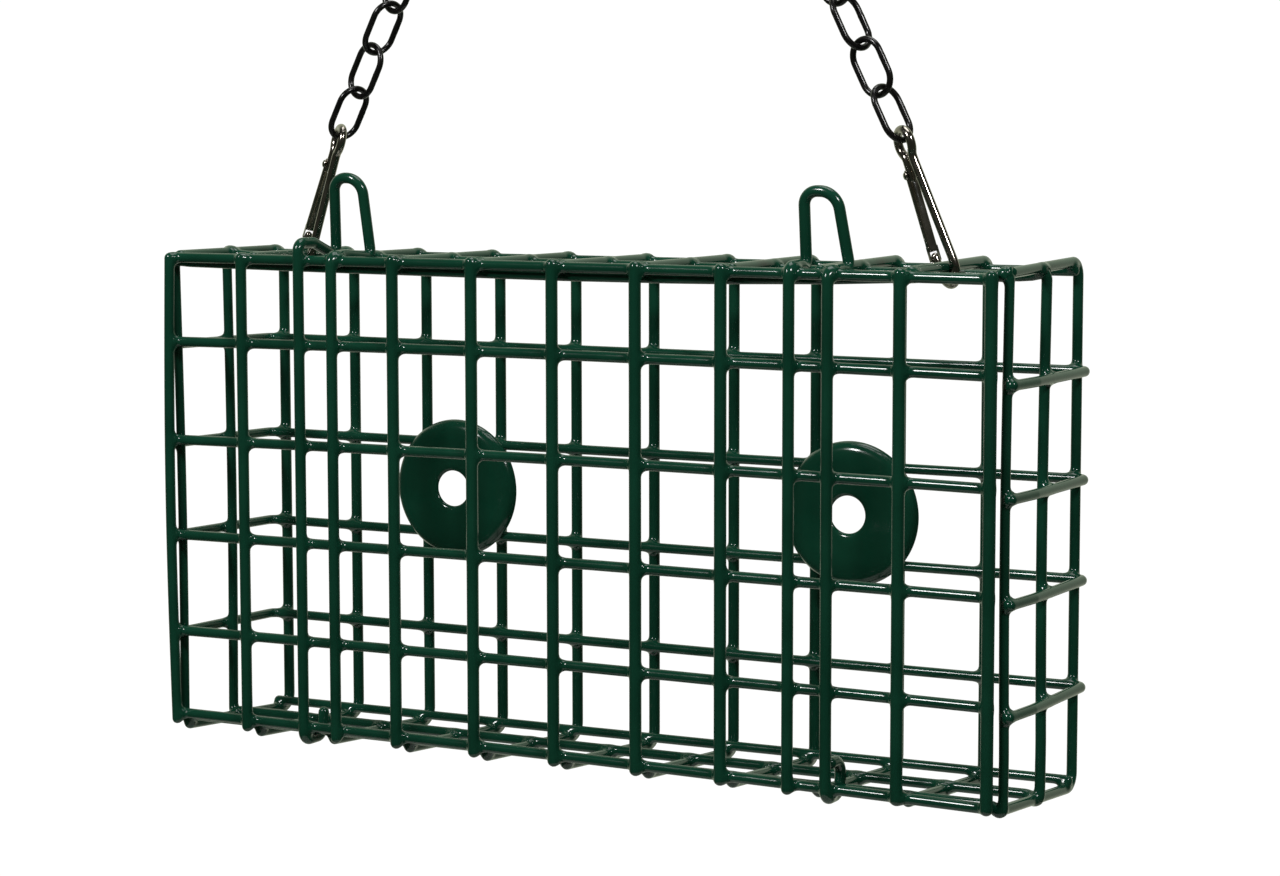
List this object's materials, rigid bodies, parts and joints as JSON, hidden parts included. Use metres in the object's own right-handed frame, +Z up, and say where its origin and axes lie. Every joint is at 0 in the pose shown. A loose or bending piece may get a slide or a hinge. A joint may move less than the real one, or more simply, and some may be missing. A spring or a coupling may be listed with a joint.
{
  "type": "hanging bird feeder",
  "caption": "Coated wire suet-cake basket with a hinged wire door and domed washers in its back, hung from a chain by snap hooks.",
  "frame": {"origin": "the hang point, under the upper bar of the chain's level middle link", "axes": "+Z up; the door faces -Y; X runs along the basket"},
  "size_m": [0.2638, 0.0582, 0.3512],
  "materials": {
    "green_vinyl": "gloss",
    "black_chain": "satin",
    "dark_nickel": "polished",
    "spring_steel": "satin"
  },
  "bodies": {
    "top_link": {"top_link": "black_chain"},
    "links_14": {"left_link_14": "black_chain", "right_link_14": "black_chain"},
    "links_13": {"left_link_13": "black_chain", "right_link_13": "black_chain"},
    "links_12": {"left_link_12": "black_chain", "right_link_12": "black_chain"},
    "links_11": {"left_link_11": "black_chain", "right_link_11": "black_chain"},
    "links_10": {"left_link_10": "black_chain", "right_link_10": "black_chain"},
    "links_09": {"left_link_09": "black_chain", "right_link_09": "black_chain"},
    "links_08": {"left_link_08": "black_chain", "right_link_08": "black_chain"},
    "links_07": {"left_link_07": "black_chain", "right_link_07": "black_chain"},
    "links_06": {"left_link_06": "black_chain", "right_link_06": "black_chain"},
    "links_05": {"left_link_05": "black_chain", "right_link_05": "black_chain"},
    "links_04": {"left_link_04": "black_chain", "right_link_04": "black_chain"},
    "links_03": {"left_link_03": "black_chain", "right_link_03": "black_chain"},
    "links_02": {"left_link_02": "black_chain", "right_link_02": "black_chain"},
    "links_01": {"left_link_01": "black_chain", "right_link_01": "black_chain"},
    "snaps": {"left_snap_hook": "dark_nickel", "right_snap_hook": "dark_nickel"},
    "left_gate": {"left_snap_gate": "dark_nickel", "left_gate_spring": "spring_steel"},
    "right_gate": {"right_snap_gate": "dark_nickel", "right_gate_spring": "spring_steel"},
    "basket": {"front_hoop": "green_vinyl", "middle_hoop": "green_vinyl", "rear_top_rail": "green_vinyl", "rear_bottom_rail": "green_vinyl", "side_to_back_wire_00": "green_vinyl", "side_to_back_wire_01": "green_vinyl", "side_to_back_wire_02": "green_vinyl", "side_to_back_wire_03": "green_vinyl", "side_to_back_wire_04": "green_vinyl", "side_to_back_wire_05": "green_vinyl", "side_to_back_wire_06": "green_vinyl", "side_to_back_wire_07": "green_vinyl", "side_to_back_wire_08": "green_vinyl", "side_to_back_wire_09": "green_vinyl", "side_to_back_wire_10": "green_vinyl", "level_band_1": "green_vinyl", "level_band_2": "green_vinyl", "level_band_3": "green_vinyl", "level_band_4": "green_vinyl", "left_domed_washer": "green_vinyl", "right_domed_washer": "green_vinyl"},
    "door": {"door_grid": "green_vinyl", "left_latch_loop": "green_vinyl", "right_latch_loop": "green_vinyl"}
  },
  "joints": [
    {"name": "swing_14", "type": "hinge", "parent": "top_link", "child": "links_14", "pos_m": [0, 0, -0.00677], "axis": [1, 0, 0], "range_deg": [-10, 10]},
    {"name": "swing_13", "type": "hinge", "parent": "links_14", "child": "links_13", "pos_m": [0, 0, -0.01877], "axis": [1, 0, 0], "range_deg": [-15, 15]},
    {"name": "swing_12", "type": "hinge", "parent": "links_13", "child": "links_12", "pos_m": [0, 0, -0.03077], "axis": [1, 0, 0], "range_deg": [-15, 15]},
    {"name": "swing_11", "type": "hinge", "parent": "links_12", "child": "links_11", "pos_m": [0, 0, -0.04277], "axis": [1, 0, 0], "range_deg": [-15, 15]},
    {"name": "swing_10", "type": "hinge", "parent": "links_11", "child": "links_10", "pos_m": [0, 0, -0.05476], "axis": [1, 0, 0], "range_deg": [-15, 15]},
    {"name": "swing_09", "type": "hinge", "parent": "links_10", "child": "links_09", "pos_m": [0, 0, -0.06676], "axis": [1, 0, 0], "range_deg": [-15, 15]},
    {"name": "swing_08", "type": "hinge", "parent": "links_09", "child": "links_08", "pos_m": [0, 0, -0.07876], "axis": [1, 0, 0], "range_deg": [-15, 15]},
    {"name": "swing_07", "type": "hinge", "parent": "links_08", "child": "links_07", "pos_m": [0, 0, -0.09076], "axis": [1, 0, 0], "range_deg": [-15, 15]},
    {"name": "swing_06", "type": "hinge", "parent": "links_07", "child": "links_06", "pos_m": [0, 0, -0.10276], "axis": [1, 0, 0], "range_deg": [-15, 15]},
    {"name": "swing_05", "type": "hinge", "parent": "links_06", "child": "links_05", "pos_m": [0, 0, -0.11475], "axis": [1, 0, 0], "range_deg": [-15, 15]},
    {"name": "swing_04", "type": "hinge", "parent": "links_05", "child": "links_04", "pos_m": [0, 0, -0.12675], "axis": [1, 0, 0], "range_deg": [-15, 15]},
    {"name": "swing_03", "type": "hinge", "parent": "links_04", "child": "links_03", "pos_m": [0, 0, -0.13875], "axis": [1, 0, 0], "range_deg": [-15, 15]},
    {"name": "swing_02", "type": "hinge", "parent": "links_03", "child": "links_02", "pos_m": [0, 0, -0.15075], "axis": [1, 0, 0], "range_deg": [-15, 15]},
    {"name": "swing_01", "type": "hinge", "parent": "links_02", "child": "links_01", "pos_m": [0, 0, -0.16275], "axis": [1, 0, 0], "range_deg": [-15, 15]},
    {"name": "snap_swing", "type": "hinge", "parent": "links_01", "child": "snaps", "pos_m": [0, 0, -0.17474], "axis": [1, 0, 0], "range_deg": [-15, 15]},
    {"name": "left_gate_pivot", "type": "hinge", "parent": "snaps", "child": "left_gate", "pos_m": [-0.09307, 0.00173, -0.1835], "axis": [-0.6828, -0.682, 0.2621], "range_deg": [0, 14], "stiffness_Nm_per_rad": 0.02, "springref_deg": -5.73},
    {"name": "right_gate_pivot", "type": "hinge", "parent": "snaps", "child": "right_gate", "pos_m": [0.08998, 0.00164, -0.18469], "axis": [-0.6485, -0.7193, -0.2489], "range_deg": [0, 14], "stiffness_Nm_per_rad": 0.02, "springref_deg": -5.73},
    {"name": "basket_tilt", "type": "hinge", "parent": "snaps", "child": "basket", "pos_m": [0, 0, -0.21022], "axis": [1, 0, 0], "range_deg": [-12, 12]},
    {"name": "door_hinge", "type": "hinge", "parent": "basket", "child": "door", "pos_m": [-0.0013, -0.0244, -0.34372], "axis": [1, 0, 0], "range_deg": [0, 90]}
  ]
}
